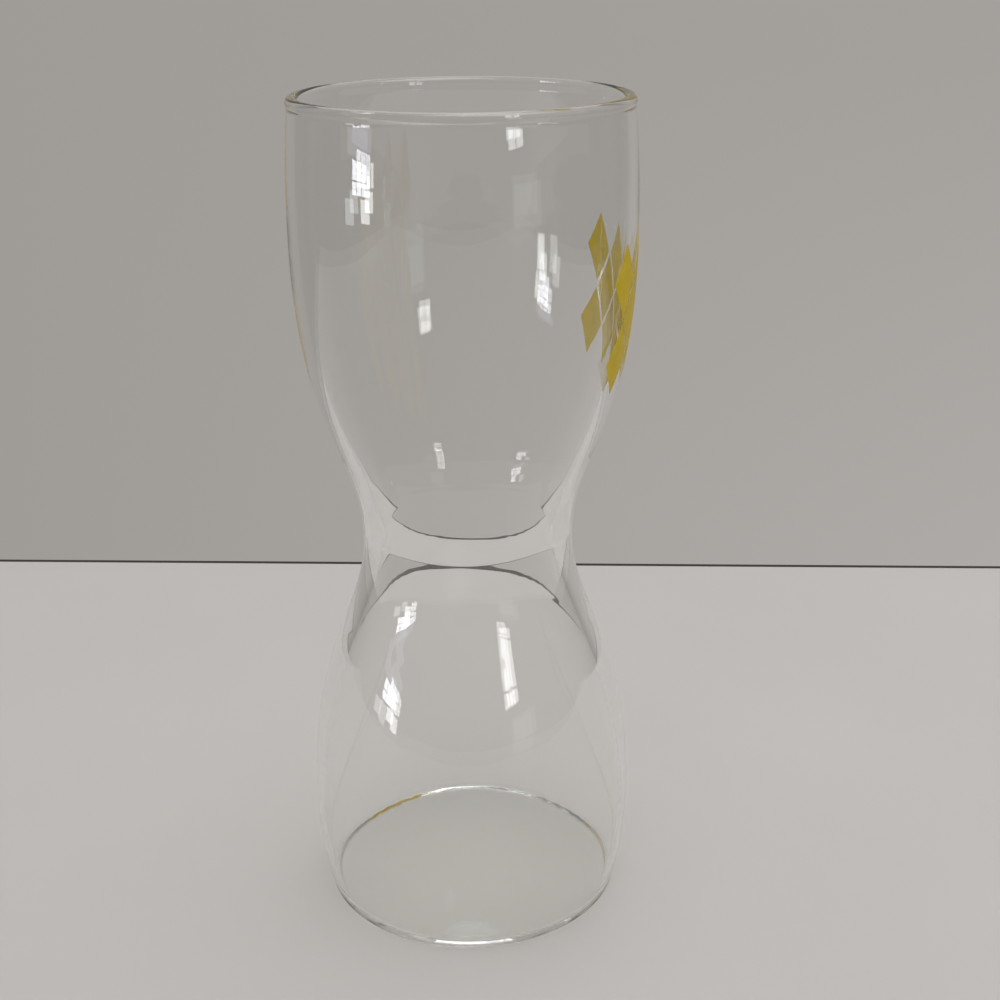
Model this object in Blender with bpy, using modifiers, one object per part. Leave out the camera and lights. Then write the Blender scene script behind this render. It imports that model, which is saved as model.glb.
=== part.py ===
"""Hourglass tumbler: one piece of blown clear glass, with a printed panel of enamel lozenges.

Metres, +Z up. The origin is the middle of the base, on the table, and the print faces +X.
"""

import math

import bmesh
import bpy
from mathutils import Vector
from mathutils.geometry import interpolate_bezier

# Heights: the bulb runs from the table to the waist, and the bowl from the waist to the rim
BULB_HEIGHT = 0.0892
BOWL_HEIGHT = 0.0958
BULB_BELLY_HEIGHT = 0.022
BOWL_BELLY_DROP = 0.0288

# Outer radii, from the table up
BASE_RADIUS = 0.0351
BULB_RADIUS = 0.0376
WAIST_RADIUS = 0.0236
BOWL_RADIUS = 0.03665
RIM_RADIUS = 0.0354

# Thickness of the wall, measured level through it, from the base to the rim. The glass gathered at the
# shoulder of the bulb, just below the waist, and from there it thins out both ways
BASE_WALL = 0.002
SHOULDER_WALL = 0.0037
NECK_WALL = 0.0029
RIM_WALL = 0.0022
NECK_RISE = 0.0116
NECK_TO_SHOULDER = 0.0149
SHOULDER_DROP = 0.0162
SHOULDER_TO_BASE = 0.066

# Base: its thickness, how far its middle is pushed up, its two heels and the ring it stands on
BASE_THICKNESS = 0.0013
PUSH_UP = 0.004
HEEL = 0.0015
INNER_HEEL = 0.002
BASE_FLAT = 0.001

# Fire-polished bead, how far it stands proud of the rim's two faces
BEAD_SWELL = 0.00025

# Lean of the wall in degrees, inwards at the rim and outwards from the base
RIM_LEAN = 4.3
BASE_LEAN = 12.0

# Fullness of each curve: how much of the way to the next knot it keeps the direction it leaves in
RIM_FULLNESS = 0.45
BOWL_TOP_FULLNESS = 0.49
BOWL_FULLNESS = 0.636
BOWL_NECK_FULLNESS = 0.304
BULB_NECK_FULLNESS = 0.298
BULB_FULLNESS = 0.6
BULB_LOW_FULLNESS = 0.455
BASE_FULLNESS = 0.22

# Printed panel: rows of lozenges, top to bottom, centred this far below the rim
PRINT_DROP = 0.0438
ROWS = (("top", 4), ("middle", 3), ("bottom", 4))
LOZENGE_WIDTH = 0.0102
LOZENGE_HEIGHT = 0.0155
LOZENGE_GAP = 0.0013
ENAMEL_FILM = 0.0004
ENAMEL_CLEARANCE = 0.0003

# Facets round the turned shapes and along their curves
TURN_STEPS = 64
LONG_CURVE_STEPS = 14
SHORT_CURVE_STEPS = 5
CORNER_STEPS = 4
BEAD_STEPS = 6
MERGE_DISTANCE = 0.00001

# Heights worked out from the driving sizes
RIM_HEIGHT = BULB_HEIGHT + BOWL_HEIGHT
BOWL_BELLY_HEIGHT = RIM_HEIGHT - BOWL_BELLY_DROP
NECK_HEIGHT = BULB_HEIGHT + NECK_RISE
SHOULDER_HEIGHT = BULB_HEIGHT - SHOULDER_DROP
BEAD_RADIUS = RIM_WALL / 2 + BEAD_SWELL
RIM_BEAD_HEIGHT = RIM_HEIGHT - BEAD_RADIUS


def clear_scene():
    for item in list(bpy.data.objects):
        bpy.data.objects.remove(item)


def collection(name):
    made = bpy.data.collections.new(name)
    bpy.context.scene.collection.children.link(made)
    return made


def material(name, colour, roughness, transmission):
    made = bpy.data.materials.new(name)
    made.use_nodes = True
    shader = made.node_tree.nodes["Principled BSDF"]
    shader.inputs["Base Color"].default_value = (*colour, 1)
    shader.inputs["Roughness"].default_value = roughness
    shader.inputs["Metallic"].default_value = 0
    shader.inputs["Transmission Weight"].default_value = transmission
    return made


def point(radius, height):
    return Vector((radius, 0, height))


def curve(start, start_handle, end_handle, end, steps):
    """The points of a cubic curve, without its last one, so that curves can follow each other."""
    return interpolate_bezier(start, start_handle, end_handle, end, steps + 1)[:-1]


def arc(centre, radius, start_degrees, end_degrees, steps):
    points = []
    for step in range(steps + 1):
        angle = math.radians(start_degrees + (end_degrees - start_degrees) * step / steps)
        points.append(centre + radius * point(math.cos(angle), math.sin(angle)))
    return points


def bowl_top():
    """The outside of the bowl from under the rim bead down to its belly."""
    rim = point(RIM_RADIUS, RIM_BEAD_HEIGHT)
    belly = point(BOWL_RADIUS, BOWL_BELLY_HEIGHT)
    drop = rim.z - belly.z
    reach = drop * RIM_FULLNESS
    leaving = rim + point(reach * math.tan(math.radians(RIM_LEAN)), -reach)
    arriving = belly + point(0, drop * BOWL_TOP_FULLNESS)
    return curve(rim, leaving, arriving, belly, SHORT_CURVE_STEPS)


def bowl_side():
    """The outside of the bowl from its belly down to the waist."""
    belly = point(BOWL_RADIUS, BOWL_BELLY_HEIGHT)
    waist = point(WAIST_RADIUS, BULB_HEIGHT)
    drop = belly.z - waist.z
    leaving = belly - point(0, drop * BOWL_FULLNESS)
    arriving = waist + point(0, drop * BOWL_NECK_FULLNESS)
    return curve(belly, leaving, arriving, waist, LONG_CURVE_STEPS)


def bulb_side():
    """The outside of the bulb from the waist down to its belly."""
    waist = point(WAIST_RADIUS, BULB_HEIGHT)
    belly = point(BULB_RADIUS, BULB_BELLY_HEIGHT)
    drop = waist.z - belly.z
    leaving = waist - point(0, drop * BULB_NECK_FULLNESS)
    arriving = belly + point(0, drop * BULB_FULLNESS)
    return curve(waist, leaving, arriving, belly, LONG_CURVE_STEPS)


def bulb_bottom():
    """The outside of the bulb from its belly down to the heel."""
    belly = point(BULB_RADIUS, BULB_BELLY_HEIGHT)
    base = point(BASE_RADIUS, HEEL)
    drop = belly.z - base.z
    reach = drop * BASE_FULLNESS
    leaving = belly - point(0, drop * BULB_LOW_FULLNESS)
    arriving = base + point(reach * math.tan(math.radians(BASE_LEAN)), reach)
    return curve(belly, leaving, arriving, base, SHORT_CURVE_STEPS)


def outer_bowl():
    """The bowl's outside from under the rim bead to the waist."""
    return bowl_top() + bowl_side() + [point(WAIST_RADIUS, BULB_HEIGHT)]


def ease(share):
    """A share from 0 to 1 that starts and ends gently."""
    share = min(max(share, 0), 1)
    return share * share * (3 - 2 * share)


def wall_at(height):
    """The thickness of the wall at a height."""
    if height > NECK_HEIGHT:
        towards_rim = ease((height - NECK_HEIGHT) / (RIM_BEAD_HEIGHT - NECK_HEIGHT))
        return NECK_WALL + (RIM_WALL - NECK_WALL) * towards_rim
    towards_base = ease((SHOULDER_HEIGHT - height) / SHOULDER_TO_BASE)
    full = SHOULDER_WALL + (BASE_WALL - SHOULDER_WALL) * towards_base
    return NECK_WALL + (full - NECK_WALL) * ease((NECK_HEIGHT - height) / NECK_TO_SHOULDER)


def rim_bead():
    """The round bead from the inside of the rim over its top to the outside."""
    centre = point(RIM_RADIUS - RIM_WALL / 2, RIM_BEAD_HEIGHT)
    return arc(centre, BEAD_RADIUS, 180, 0, BEAD_STEPS)


def base_underside():
    """Round the heel, over the ring that stands on the table, and up to the pushed-up middle."""
    heel = arc(point(BASE_RADIUS - HEEL, HEEL), HEEL, 0, -90, CORNER_STEPS)
    ring = heel[-1] - point(BASE_FLAT, 0)
    middle = point(0, PUSH_UP)
    leaving = ring + point(-ring.x / 2, PUSH_UP)
    arriving = middle + point(ring.x / 2, 0)
    return heel + curve(ring, leaving, arriving, middle, SHORT_CURVE_STEPS) + [middle]


def inside():
    """The inside of the glass from the middle of the base up to the rim bead."""
    outer = bowl_top()[1:] + bowl_side() + bulb_side() + bulb_bottom()
    wall = [place - point(wall_at(place.z), 0) for place in outer]
    above = [place for place in wall if place.z > BASE_THICKNESS + INNER_HEEL]
    edge = above[-1]
    side = (edge - above[-2]).normalized() * INNER_HEEL / 2
    middle = point(0, PUSH_UP + BASE_THICKNESS)
    heel = point(edge.x - INNER_HEEL, BASE_THICKNESS + PUSH_UP * INNER_HEEL / edge.x)
    leaving = middle + point(heel.x / 2, 0)
    arriving = heel + point(-heel.x / 2, PUSH_UP)
    floor = curve(middle, leaving, arriving, heel, SHORT_CURVE_STEPS)
    corner = curve(heel, heel + point(INNER_HEEL / 2, 0), edge + side, edge, CORNER_STEPS)
    return floor + corner + above[::-1]


def glass_outline():
    """The cut face of the glass: up its inside from the base, over the rim, and down its outside."""
    outside = outer_bowl()[1:] + bulb_side()[1:] + bulb_bottom()
    return inside() + rim_bead() + outside + base_underside()


def moved_out(outline, distance):
    """An outline that runs downwards, moved along its outward normals."""
    moved = []
    for index, place in enumerate(outline):
        before = outline[max(index - 1, 0)]
        after = outline[min(index + 1, len(outline) - 1)]
        along = (after - before).normalized()
        moved.append(place + distance * point(-along.z, along.x))
    return moved


def turned(name, outline, closed, home):
    """An outline in the XZ plane, turned about the Z axis."""
    edges = [(index, index + 1) for index in range(len(outline) - 1)]
    if closed:
        edges.append((len(outline) - 1, 0))
    mesh = bpy.data.meshes.new(name)
    mesh.from_pydata(outline, edges, [])
    made = bpy.data.objects.new(name, mesh)
    home.objects.link(made)
    screw = made.modifiers.new("turn", "SCREW")
    screw.axis = "Z"
    screw.angle = math.tau
    screw.steps = TURN_STEPS
    screw.render_steps = TURN_STEPS
    screw.use_merge_vertices = True
    screw.merge_threshold = MERGE_DISTANCE
    screw.use_smooth_shade = True
    return made


def lozenge_stencil(name, height, home):
    """A four-sided bar along X whose section is one lozenge at the given height."""
    length = 2 * BOWL_RADIUS
    mesh = bpy.data.meshes.new(name)
    shape = bmesh.new()
    bmesh.ops.create_cone(shape, cap_ends=True, segments=4, radius1=1, radius2=1, depth=1)
    bmesh.ops.rotate(shape, verts=shape.verts, matrix=Vector((0, 0, 1)).rotation_difference(
        Vector((1, 0, 0))).to_matrix())
    bmesh.ops.scale(shape, verts=shape.verts, vec=(length, LOZENGE_WIDTH / 2, LOZENGE_HEIGHT / 2))
    shape.to_mesh(mesh)
    shape.free()
    made = bpy.data.objects.new(name, mesh)
    made.location = (BOWL_RADIUS + length / 4, 0, height)
    made.hide_render = True
    made.display_type = "WIRE"
    home.objects.link(made)
    return made


def lozenge_mesh(name, height, cutters):
    """One lozenge of enamel at the given height, facing +X: a film round the bowl, cut by the stencil."""
    outer = moved_out(outer_bowl(), ENAMEL_CLEARANCE + ENAMEL_FILM)
    inner = moved_out(outer_bowl(), ENAMEL_CLEARANCE)
    film = turned(name + "_film", outer + inner[::-1], True, cutters)
    cut = film.modifiers.new("stencil", "BOOLEAN")
    cut.operation = "INTERSECT"
    cut.object = lozenge_stencil(name + "_stencil", height, cutters)
    graph = bpy.context.evaluated_depsgraph_get()
    mesh = bpy.data.meshes.new_from_object(film.evaluated_get(graph))
    mesh.name = name
    mesh.shade_smooth()
    mesh.set_sharp_from_angle(angle=math.radians(30))
    bpy.data.objects.remove(film)
    return mesh


def add_glass(parts, parent, glass):
    body = turned("glass_body", glass_outline(), False, parts)
    body.data.materials.append(glass)
    body.parent = parent


def add_print(parts, cutters, parent, enamel):
    """Rows of lozenges round the bowl, each row half a lozenge out of step with the next."""
    column_angle = (LOZENGE_WIDTH + LOZENGE_GAP) / BOWL_RADIUS
    row_pitch = (LOZENGE_HEIGHT + LOZENGE_GAP) / 2
    middle_height = RIM_HEIGHT - PRINT_DROP
    for row, (row_name, count) in enumerate(ROWS):
        height = middle_height + ((len(ROWS) - 1) / 2 - row) * row_pitch
        mesh = lozenge_mesh("lozenge_" + row_name, height, cutters)
        mesh.materials.clear()
        mesh.materials.append(enamel)
        for column in range(count):
            lozenge = bpy.data.objects.new(f"lozenge_{row_name}_{column + 1}", mesh)
            lozenge.rotation_euler.z = (column - (count - 1) / 2) * column_angle
            lozenge.parent = parent
            parts.objects.link(lozenge)


def main():
    clear_scene()
    parts = collection("hourglass_tumbler")
    cutters = collection("cutters")
    parent = bpy.data.objects.new("tumbler", None)
    parts.objects.link(parent)
    glass = material("clear_glass", (0.95, 0.97, 0.95), 0.0, 1.0)
    enamel = material("yellow_enamel", (0.46, 0.33, 0.02), 0.35, 0.0)
    add_glass(parts, parent, glass)
    add_print(parts, cutters, parent, enamel)


main()
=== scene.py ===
"""Looks of the hourglass tumbler: fire-polished clear glass on a pale table, in soft light from windows.

Sizes of the glass are in millimetres until a mesh is made from them. +Z is up, the photo's camera looks
roughly along +Y, and the printed panel faces +X.
"""

import math

import bpy
import numpy as np
from mathutils import Matrix, Vector


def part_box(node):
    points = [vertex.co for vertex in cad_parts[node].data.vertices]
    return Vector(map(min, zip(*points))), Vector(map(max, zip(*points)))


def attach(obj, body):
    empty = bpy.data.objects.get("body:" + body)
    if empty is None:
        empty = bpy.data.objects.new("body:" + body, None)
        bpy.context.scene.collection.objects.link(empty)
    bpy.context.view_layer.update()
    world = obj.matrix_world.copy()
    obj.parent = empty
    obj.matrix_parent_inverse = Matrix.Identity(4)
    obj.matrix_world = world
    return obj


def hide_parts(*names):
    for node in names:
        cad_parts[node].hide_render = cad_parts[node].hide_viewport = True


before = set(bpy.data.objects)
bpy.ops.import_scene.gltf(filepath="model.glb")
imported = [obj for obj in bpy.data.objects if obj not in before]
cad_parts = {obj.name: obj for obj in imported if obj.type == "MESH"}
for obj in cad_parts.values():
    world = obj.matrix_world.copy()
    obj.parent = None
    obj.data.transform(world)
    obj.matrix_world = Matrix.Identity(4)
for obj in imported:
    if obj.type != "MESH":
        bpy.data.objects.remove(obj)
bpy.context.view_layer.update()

MM = 0.001

# Outside of the glass: heights and radii of its knots, and how far the wall leans there, in degrees
RIM_HEIGHT = 185.0
BOWL_HEIGHT = 156.2
WAIST_HEIGHT = 89.2
BULB_HEIGHT = 22.0
RIM_RADIUS = 35.4
BOWL_RADIUS = 36.65
WAIST_RADIUS = 23.6
BULB_RADIUS = 37.6
BASE_RADIUS = 35.1
RIM_LEAN = 4.3
BASE_LEAN = 12.0

# Curve handles at the knots, below and above them, as shares of the rise to the next knot
RIM_BELOW = 0.45
BOWL_ABOVE = 0.49
BOWL_BELOW = 0.636
WAIST_ABOVE = 0.304
WAIST_BELOW = 0.298
BULB_ABOVE = 0.6
BULB_BELOW = 0.455
BASE_ABOVE = 0.22

# Thickness of the wall, which grows from the rim to a ridge inside the waist and on to the shoulder of the
# bulb and then thins to the base, and how far the rim's bead swells
RIM_WALL = 2.2
NECK_WALL = 2.9
RIDGE_WALL = 3.65
SHOULDER_WALL = 3.94
BASE_WALL = 2.0
NECK_HEIGHT = 100.7
RIDGE_HEIGHT = 90.0
SHOULDER_HEIGHT = 66.0
BASE_WALL_HEIGHT = 6.0
RIDGE_POWER = 1.5
BEAD_SWELL = 0.25

# Base: its thickness, how far its middle is pushed up, and its outer and inner heels
BASE_THICKNESS = 1.3
PUSH_UP = 4.0
HEEL = 0.8
INNER_HEEL = 1.2

# Printed lozenges: their rows, width and height, and how far the enamel sinks into the glass and stands out
PRINT_ROWS = (("top", 4), ("middle", 3), ("bottom", 4))
LOZENGE_WIDTH = 10.2
LOZENGE_HEIGHT = 15.5
ENAMEL_SUNK = 0.02
ENAMEL_PROUD = 0.04

# Facets round the glass, along its curves and across a lozenge
TURN_STEPS = 192
CURVE_STEPS = 40
WALL_STEPS = 240
CORNER_STEPS = 12
FACE_STEPS = 24
BEAD_STEPS = 24
LOZENGE_STEPS = 14

# Points nearer than this in millimetres are merged, and edges sharper than this in degrees stay sharp
MERGE_DISTANCE = 0.0005
SHARP_ANGLE = 40

# Clear glass: its tint, its index of refraction, and the tint of the light that it lets through
GLASS_TINT = (0.993, 0.995, 0.987, 1)
GLASS_INDEX = 1.5
SHADOW_TINT = (0.95, 0.955, 0.945, 1)

# Unevenness of the finishes: how wide it is and how deep, in millimetres
GLASS_WAVE = 22
GLASS_WAVE_DEPTH = 0.1
ENAMEL_PATCH = 3
ENAMEL_GRAIN = 0.25
ENAMEL_GRAIN_DEPTH = 0.02
TABLE_CLOUD = 90

# Table, whose back edge runs a little askew behind the glass, in metres and degrees
TABLE_WIDTH = 1.4
TABLE_FRONT = -0.9
TABLE_BACK = 0.1767
# The dark strip behind the table's back edge is painted shadow in the gap there, and ends here
GAP_SHADOW_BACK = 0.1787
TABLE_ASKEW = -3.2

# Room: between which directions its tones change, how much of the painted light that makes the wall lighter
# to the right and lower down it keeps at the top, and how strong its plain light is
WALL_LEFT_TO_RIGHT = (-0.3, 0.4)
WALL_LOW_TO_HIGH = (-0.39, -0.08)
BEHIND_TO_AHEAD = (-0.2, 0.3)
SIDE_TO_MIDDLE = (0.9, 0.6)
HIGH_WALL_SHARE = 0.35
ROOM_LIGHT = 0.65

# Windows: how far away they are in metres, and the share of a pane that its bars take
WINDOW_DISTANCE = 1.0
WINDOW_BAR = 0.12

# Bounces of light in all, and in the glass
LIGHT_BOUNCES = 96
GLASS_BOUNCES = 64

# Photo's camera: its sensor and lens, its place and near limit in metres, and its angles in degrees
CAMERA_SENSOR = 36
CAMERA_LENS = 51.545
CAMERA_PLACE = (0, -0.2999, 0.2158)
CAMERA_NEAR = 0.01
CAMERA_TURN = -1.396
CAMERA_DOWN = 21.768
CAMERA_ROLL = -0.356


def linear(hex_colour):
    """The linear colour of an sRGB hex code."""
    values = [int(hex_colour[place : place + 2], 16) / 255 for place in (0, 2, 4)]
    lit = [value / 12.92 if value <= 0.04045 else ((value + 0.055) / 1.055) ** 2.4 for value in values]
    return lit + [1]


def add(tree, kind, settings=None, **links):
    """A shader node with its sockets set, and linked from (node, output) pairs, where i7 is socket 7."""
    node = tree.nodes.new(kind)
    for name, value in (settings or {}).items():
        if isinstance(name, int) or name in node.inputs:
            node.inputs[name].default_value = value
        else:
            setattr(node, name, value)
    for name, (source, output) in links.items():
        socket = node.inputs[int(name[1:])] if name[1:].isdigit() else node.inputs[name.replace("_", " ")]
        tree.links.new(source.outputs[output], socket)
    return node


def material(name):
    made = bpy.data.materials.new(name)
    made.use_nodes = True
    made.node_tree.nodes.clear()
    return made, made.node_tree


def noise(tree, width, detail):
    """Clouds about this many millimetres wide, fixed to the piece."""
    where = add(tree, "ShaderNodeTexCoord")
    settings = {"Scale": 1 / (width * MM), "Detail": detail}
    return add(tree, "ShaderNodeTexNoise", settings, Vector=(where, "Object"))


def clear_glass():
    """Fire-polished glass: almost without colour, faintly wavy from blowing, and casting a light shadow."""
    made, tree = material("fire-polished clear glass")
    waves = noise(tree, GLASS_WAVE, 1.0)
    settings = {"Strength": 0.25, "Distance": GLASS_WAVE_DEPTH * MM}
    bump = add(tree, "ShaderNodeBump", settings, Height=(waves, "Fac"))
    glass = add(
        tree,
        "ShaderNodeBsdfPrincipled",
        {"Base Color": GLASS_TINT, "Roughness": 0.0, "IOR": GLASS_INDEX, "Transmission Weight": 1.0},
        Normal=(bump, "Normal"),
    )
    shadow = add(tree, "ShaderNodeBsdfTransparent", {"Color": SHADOW_TINT})
    path = add(tree, "ShaderNodeLightPath")
    mix = add(
        tree, "ShaderNodeMixShader", i0=(path, "Is Shadow Ray"), i1=(glass, "BSDF"), i2=(shadow, "BSDF")
    )
    add(tree, "ShaderNodeOutputMaterial", Surface=(mix, "Shader"))
    return made


def yellow_enamel():
    """Screen-printed enamel: warm yellow, a little uneven in tone and with the grain of the screen."""
    made, tree = material("fired yellow enamel")
    tone = noise(tree, ENAMEL_PATCH, 3.0)
    colour = add(tree, "ShaderNodeValToRGB", i0=(tone, "Fac"))
    colour.color_ramp.elements[0].position = 0.3
    colour.color_ramp.elements[0].color = linear("BBA200")
    colour.color_ramp.elements[1].position = 0.7
    colour.color_ramp.elements[1].color = linear("C9AC08")
    grain = noise(tree, ENAMEL_GRAIN, 2.0)
    settings = {"Strength": 0.2, "Distance": ENAMEL_GRAIN_DEPTH * MM}
    bump = add(tree, "ShaderNodeBump", settings, Height=(grain, "Fac"))
    enamel = add(
        tree,
        "ShaderNodeBsdfPrincipled",
        {"Roughness": 0.45, "Specular IOR Level": 0.25},
        Base_Color=(colour, "Color"),
        Normal=(bump, "Normal"),
    )
    add(tree, "ShaderNodeOutputMaterial", Surface=(enamel, "BSDF"))
    return made


def table_top():
    """Matte pale laminate, a little cloudy."""
    made, tree = material("matte pale laminate")
    cloud = noise(tree, TABLE_CLOUD, 3.0)
    colour = add(tree, "ShaderNodeValToRGB", i0=(cloud, "Fac"))
    colour.color_ramp.elements[0].color = linear("BDB9B6")
    colour.color_ramp.elements[1].color = linear("C3BFBC")
    laminate = add(tree, "ShaderNodeBsdfPrincipled", {"Roughness": 0.8}, Base_Color=(colour, "Color"))
    add(tree, "ShaderNodeOutputMaterial", Surface=(laminate, "BSDF"))
    return made


# A dark strip of painted shade: the shadow in the gap between the table and the wall behind it.
def painted_gap_shadow():
    made, tree = material("painted shadow in the gap behind the table")
    gap_shade = add(tree, "ShaderNodeBsdfPrincipled", {"Base Color": linear("3A3532"), "Roughness": 0.9})
    add(tree, "ShaderNodeOutputMaterial", Surface=(gap_shade, "BSDF"))
    return made


def stretch(low, high, above_low, below_high, low_lean=0.0, high_lean=0.0):
    """The points of a curve between two knots, with handles that are shares of the rise between them."""
    rise = high[1] - low[1]
    low_slope = math.tan(math.radians(low_lean))
    high_slope = math.tan(math.radians(high_lean))
    low_handle = low[0] + above_low * rise * low_slope, low[1] + above_low * rise
    high_handle = high[0] + below_high * rise * high_slope, high[1] - below_high * rise
    share = np.linspace(0, 1, CURVE_STEPS + 1)[:, None]
    weights = (1 - share) ** 3, 3 * share * (1 - share) ** 2, 3 * share**2 * (1 - share), share**3
    knots = np.array([low, low_handle, high_handle, high])
    return sum(weight * knot for weight, knot in zip(weights, knots))


def arc(centre, radius, start, end, steps):
    angles = np.radians(np.linspace(start, end, steps + 1))
    return np.stack([centre[0] + radius * np.cos(angles), centre[1] + radius * np.sin(angles)], 1)


def outside():
    """The outside of the glass from the heel up to the rim bead."""
    base = BASE_RADIUS, HEEL
    bulb = BULB_RADIUS, BULB_HEIGHT
    waist = WAIST_RADIUS, WAIST_HEIGHT
    bowl = BOWL_RADIUS, BOWL_HEIGHT
    rim = RIM_RADIUS, RIM_HEIGHT - RIM_WALL / 2 - BEAD_SWELL
    stretches = [
        stretch(base, bulb, BASE_ABOVE, BULB_BELOW, low_lean=BASE_LEAN),
        stretch(bulb, waist, BULB_ABOVE, WAIST_BELOW)[1:],
        stretch(waist, bowl, WAIST_ABOVE, BOWL_BELOW)[1:],
        stretch(bowl, rim, BOWL_ABOVE, RIM_BELOW, high_lean=RIM_LEAN)[1:],
    ]
    return np.concatenate(stretches)


OUTSIDE = outside()


def outside_radius(height):
    return np.interp(height, OUTSIDE[:, 1], OUTSIDE[:, 0])


def ease(share):
    """A share from 0 to 1 that starts and ends gently."""
    share = np.clip(share, 0, 1)
    return share * share * (3 - 2 * share)


def wall_at(height):
    """The thickness of the wall at a height."""
    to_rim = ease((height - NECK_HEIGHT) / (RIM_HEIGHT - NECK_HEIGHT))
    to_ridge = np.clip((NECK_HEIGHT - height) / (NECK_HEIGHT - RIDGE_HEIGHT), 0, 1) ** RIDGE_POWER
    to_shoulder = np.clip((RIDGE_HEIGHT - height) / (RIDGE_HEIGHT - SHOULDER_HEIGHT), 0, 1)
    to_base = ease((SHOULDER_HEIGHT - height) / (SHOULDER_HEIGHT - BASE_WALL_HEIGHT))
    bowl = NECK_WALL + (RIM_WALL - NECK_WALL) * to_rim
    waist = (RIDGE_WALL - NECK_WALL) * to_ridge
    bulb = (SHOULDER_WALL - RIDGE_WALL) * to_shoulder + (BASE_WALL - SHOULDER_WALL) * to_base
    return bowl + waist + bulb


def pushed_up(edge, low):
    """A base's surface from its middle to its edge, at this height there, pushed up in the middle."""
    share = np.linspace(0, 1, FACE_STEPS + 1)
    return np.stack([edge * share, low + PUSH_UP * (1 - share**2)], 1)


def glass_outline():
    """The cut face of the glass: up its inside from the base, over the rim, and down its outside."""
    bead = RIM_WALL / 2 + BEAD_SWELL
    heights = np.linspace(BASE_THICKNESS + INNER_HEEL, RIM_HEIGHT - bead, WALL_STEPS + 1)
    wall = np.stack([outside_radius(heights) - wall_at(heights), heights], 1)
    edge = wall[0, 0] - INNER_HEEL
    inner_heel = arc((edge, BASE_THICKNESS + INNER_HEEL), INNER_HEEL, -90, 0, CORNER_STEPS)
    rim = arc((RIM_RADIUS - RIM_WALL / 2, RIM_HEIGHT - bead), bead, 180, 0, BEAD_STEPS)
    heel = arc((BASE_RADIUS - HEEL, HEEL), HEEL, 0, -90, CORNER_STEPS)
    return np.concatenate(
        [
            pushed_up(edge, BASE_THICKNESS)[:-1],
            inner_heel[:-1],
            wall[:-1],
            rim,
            OUTSIDE[-2:0:-1],
            heel[:-1],
            pushed_up(BASE_RADIUS - HEEL, 0)[::-1],
        ]
    )


def new_piece(name, add_primitive, **settings):
    """A primitive by itself in edit mode, all selected."""
    bpy.ops.object.select_all(action="DESELECT")
    add_primitive(**settings)
    piece = bpy.context.object
    piece.name = piece.data.name = name
    bpy.ops.object.mode_set(mode="EDIT")
    return piece


def blown_glass(finish):
    """The cut face's outline, drawn by extruding one point along it, and spun round the axis."""
    piece = new_piece("blown_glass", bpy.ops.mesh.primitive_plane_add, size=MM)
    outline = glass_outline() * MM
    bpy.ops.mesh.merge(type="CENTER")
    bpy.ops.transform.translate(value=(outline[0, 0], 0, outline[0, 1]))
    for outwards, upwards in np.diff(outline, axis=0):
        bpy.ops.mesh.extrude_region_move(TRANSFORM_OT_translate={"value": (outwards, 0, upwards)})
    bpy.ops.mesh.select_all(action="SELECT")
    bpy.ops.mesh.spin(steps=TURN_STEPS, angle=math.tau, center=(0, 0, 0), axis=(0, 0, 1))
    bpy.ops.mesh.select_all(action="SELECT")
    bpy.ops.mesh.remove_doubles(threshold=MERGE_DISTANCE * MM)
    bpy.ops.mesh.normals_make_consistent(inside=False)
    bpy.ops.object.mode_set(mode="OBJECT")
    bpy.ops.object.shade_smooth()
    piece.data.materials.append(finish)
    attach(piece, "root")
    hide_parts("glass_body")
    return piece


def flat_lozenge(finish):
    """A square grid with a diagonal of 1, turned on its corner and drawn out to a lozenge at the origin."""
    piece = new_piece(
        "flat_lozenge",
        bpy.ops.mesh.primitive_grid_add,
        x_subdivisions=LOZENGE_STEPS,
        y_subdivisions=LOZENGE_STEPS,
        size=math.sqrt(0.5),
    )
    bpy.ops.transform.rotate(value=math.radians(45), orient_axis="Z", center_override=(0, 0, 0))
    bpy.ops.transform.resize(value=(LOZENGE_WIDTH * MM, LOZENGE_HEIGHT * MM, 1), center_override=(0, 0, 0))
    bpy.ops.object.mode_set(mode="OBJECT")
    piece.data.materials.append(finish)
    return piece


def apply_modifier(piece, kind, **settings):
    modifier = piece.modifiers.new(kind.lower(), kind)
    for name, value in settings.items():
        setattr(modifier, name, value)
    bpy.ops.object.modifier_apply(modifier=modifier.name)


def enamel_lozenge(node, flat, glass):
    """A copy of the flat lozenge, stood up over the part's own, wrapped on the glass and made a film."""
    piece = flat.copy()
    piece.data = flat.data.copy()
    piece.name = piece.data.name = "enamel_" + node
    bpy.context.scene.collection.objects.link(piece)
    bpy.ops.object.select_all(action="DESELECT")
    piece.select_set(True)
    bpy.context.view_layer.objects.active = piece
    low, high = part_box(node)
    middle = (low + high) / 2
    turn = math.atan2(middle.y, middle.x)
    radius = outside_radius(middle.z / MM) * MM
    piece.location = (radius * math.cos(turn), radius * math.sin(turn), middle.z)
    piece.rotation_euler = (math.radians(90), 0, turn + math.radians(90))
    bpy.ops.object.transform_apply(location=True, rotation=True, scale=True)
    apply_modifier(piece, "SHRINKWRAP", target=glass)
    film = ENAMEL_PROUD + ENAMEL_SUNK
    apply_modifier(piece, "SOLIDIFY", thickness=film * MM, offset=(ENAMEL_PROUD - ENAMEL_SUNK) / film)
    bpy.ops.object.shade_smooth_by_angle(angle=math.radians(SHARP_ANGLE))
    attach(piece, "root")
    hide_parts(node)


def printed_panel(glass, finish):
    """Rows of enamel lozenges on the bowl, in the places of the part's own."""
    flat = flat_lozenge(finish)
    for row, count in PRINT_ROWS:
        for column in range(count):
            enamel_lozenge(f"lozenge_{row}_{column + 1}", flat, glass)
    bpy.data.objects.remove(flat)


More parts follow.
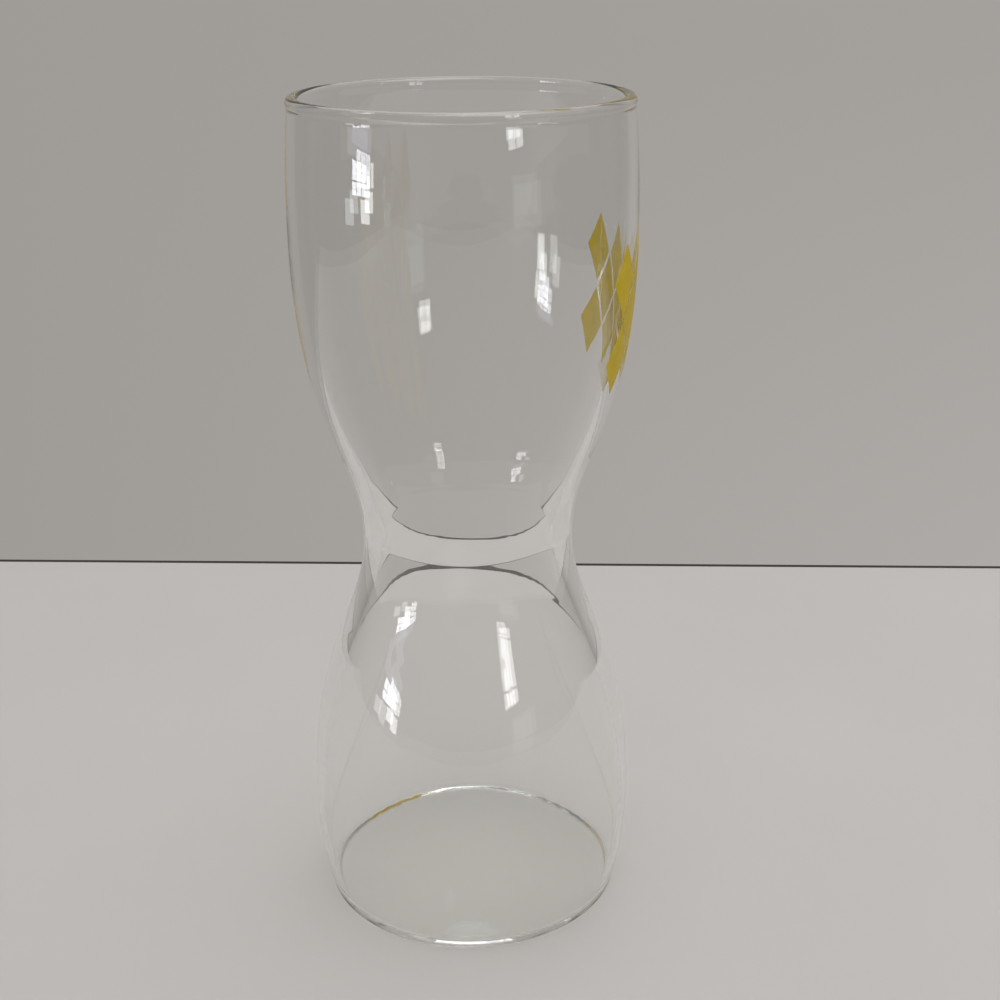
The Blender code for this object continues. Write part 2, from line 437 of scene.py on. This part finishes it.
def stage_plane(name, front, back, finish):
    """A strip of the table from front to back."""
    piece = new_piece(name, bpy.ops.mesh.primitive_plane_add, size=1)
    bpy.ops.transform.resize(value=(TABLE_WIDTH, back - front, 1), center_override=(0, 0, 0))
    bpy.ops.transform.translate(value=(0, (front + back) / 2, 0))
    bpy.ops.object.mode_set(mode="OBJECT")
    piece.rotation_euler.z = math.radians(TABLE_ASKEW)
    bpy.ops.object.transform_apply(location=True, rotation=True, scale=True)
    piece.data.materials.append(finish)


def share_of(tree, value, span, ends=(0.0, 1.0)):
    """A share that goes from one end to the other while a node's output goes over this span."""
    settings = {"From Min": span[0], "From Max": span[1], "To Min": ends[0], "To Max": ends[1]}
    return add(tree, "ShaderNodeMapRange", settings, Value=value)


def room():
    """The grey wall behind the glass, with painted light making it lightest at its lower right, and a
    darker room on the other sides.
    """
    world = bpy.data.worlds.new("room")
    bpy.context.scene.world = world
    world.use_nodes = True
    tree = world.node_tree
    tree.nodes.clear()
    where = add(tree, "ShaderNodeTexCoord")
    way = add(tree, "ShaderNodeSeparateXYZ", Vector=(where, "Generated"))
    # Painted light: the wall is painted lighter to the right and lower down, and less so at the top
    right = share_of(tree, (way, "X"), WALL_LEFT_TO_RIGHT)
    ahead = share_of(tree, (way, "Y"), BEHIND_TO_AHEAD)
    low = share_of(tree, (way, "Z"), WALL_LOW_TO_HIGH, (1.0, HIGH_WALL_SHARE))
    times = {"operation": "MULTIPLY"}
    painted_wall_light = add(tree, "ShaderNodeMath", times, i0=(right, "Result"), i1=(low, "Result"))
    # Sockets 6 and 7 of a mix of colours take the two colours, and its output 2 gives their mix
    wall = add(tree, "ShaderNodeMix", {"data_type": "RGBA"}, i0=(painted_wall_light, "Value"))
    wall.inputs[6].default_value = linear("9F9C98")
    wall.inputs[7].default_value = linear("AFABA8")
    aside = add(tree, "ShaderNodeMath", {"operation": "ABSOLUTE"}, i0=(way, "X"))
    inner = share_of(tree, (aside, "Value"), SIDE_TO_MIDDLE)
    sides = add(tree, "ShaderNodeMix", {"data_type": "RGBA"}, i0=(inner, "Result"), i7=(wall, 2))
    sides.inputs[6].default_value = linear("6E6C6A")
    colour = add(tree, "ShaderNodeMix", {"data_type": "RGBA"}, i0=(ahead, "Result"), i7=(sides, 2))
    colour.inputs[6].default_value = linear("5E5C5A")
    seen = add(tree, "ShaderNodeBackground", Color=(colour, 2))
    light = add(tree, "ShaderNodeBackground", {"Color": linear("FFFFFF"), "Strength": ROOM_LIGHT})
    path = add(tree, "ShaderNodeLightPath")
    lit = add(tree, "ShaderNodeMath", {"operation": "MINIMUM", 1: 1.0}, i0=(path, "Diffuse Depth"))
    mix = add(
        tree, "ShaderNodeMixShader", i0=(lit, "Value"), i1=(seen, "Background"), i2=(light, "Background")
    )
    add(tree, "ShaderNodeOutputWorld", Surface=(mix, "Shader"))


def lamp(name, place, width, height, glow, aim=(0, 0, 0), colour="FFFFFF", mirrored=True):
    """A flat lamp, as bright all over as its glow, and shown by the glass unless it isn't mirrored."""
    data = bpy.data.lights.new(name, "AREA")
    data.shape = "RECTANGLE"
    data.size = width
    data.size_y = height
    data.energy = glow * math.pi * width * height
    data.color = linear(colour)[:3]
    made = bpy.data.objects.new(name, data)
    bpy.context.scene.collection.objects.link(made)
    made.location = place
    made.rotation_euler = (Vector(aim) - Vector(place)).to_track_quat("-Z", "Y").to_euler()
    made.visible_camera = False
    made.visible_glossy = mirrored
    made.visible_transmission = mirrored


def window(name, turns, heights, glow, panes=(1, 1), colour="FFFFFF"):
    """Panes with bars, between turns in degrees from the camera's side and heights in millimetres."""
    columns, rows = panes
    turn_step = (turns[1] - turns[0]) / columns
    height_step = (heights[1] - heights[0]) / rows
    for column in range(columns):
        for row in range(rows):
            turn = math.radians(turns[0] + (column + 0.5) * turn_step)
            height = (heights[0] + (row + 0.5) * height_step) * MM
            place = (WINDOW_DISTANCE * math.sin(turn), -WINDOW_DISTANCE * math.cos(turn), height)
            width = WINDOW_DISTANCE * math.radians(turn_step) * (1 - WINDOW_BAR)
            tall = height_step * MM * (1 - WINDOW_BAR)
            lamp(f"{name}_{column}_{row}", place, width, tall, glow, (0, 0, height), colour)


def photo_camera():
    data = bpy.data.cameras.new("photo_camera")
    data.sensor_width = CAMERA_SENSOR
    data.lens = CAMERA_LENS
    data.clip_start = CAMERA_NEAR
    made = bpy.data.objects.new("photo_camera", data)
    bpy.context.scene.collection.objects.link(made)
    turn = Matrix.Rotation(math.radians(CAMERA_TURN), 4, "Z")
    pitch = Matrix.Rotation(math.radians(90 - CAMERA_DOWN), 4, "X")
    roll = Matrix.Rotation(math.radians(CAMERA_ROLL), 4, "Z")
    made.matrix_world = Matrix.Translation(CAMERA_PLACE) @ turn @ pitch @ roll
    bpy.context.scene.camera = made


printed_panel(blown_glass(clear_glass()), yellow_enamel())
stage_plane("table", TABLE_FRONT, TABLE_BACK, table_top())
# Painted shadow: a dark strip in the gap behind the table
stage_plane("table_gap_shadow", TABLE_BACK, GAP_SHADOW_BACK, painted_gap_shadow())
room()
lamp("ceiling", place=(0.2, -0.1, 1.2), width=0.8, height=0.8, glow=2.5)
lamp("back_light", place=(0.25, 0.75, 0.95), width=0.6, height=0.6, glow=0.9, mirrored=False)
window("left_panes", turns=(-72, -61), heights=(80, 155), glow=14, panes=(3, 2), colour="F2F5FF")
window("left_curtain", turns=(-66, -59), heights=(10, 78), glow=9)
window("left_edge", turns=(-61, -58.6), heights=(80, 148), glow=9)
window("left_corner", turns=(-78, -70.5), heights=(3, 74), glow=3.5)
window("left_blind", turns=(-76.6, -59.3), heights=(154, 186), glow=1.6, colour="DDDDF5")
window("right_panes", turns=(28, 38), heights=(185, 300), glow=7, panes=(2, 2))
window("right_blind", turns=(30, 50), heights=(5, 142), glow=0.6)
photo_camera()

scene = bpy.context.scene
scene.view_settings.view_transform = "Standard"
scene.cycles.max_bounces = LIGHT_BOUNCES
scene.cycles.transmission_bounces = GLASS_BOUNCES
scene.cycles.glossy_bounces = GLASS_BOUNCES
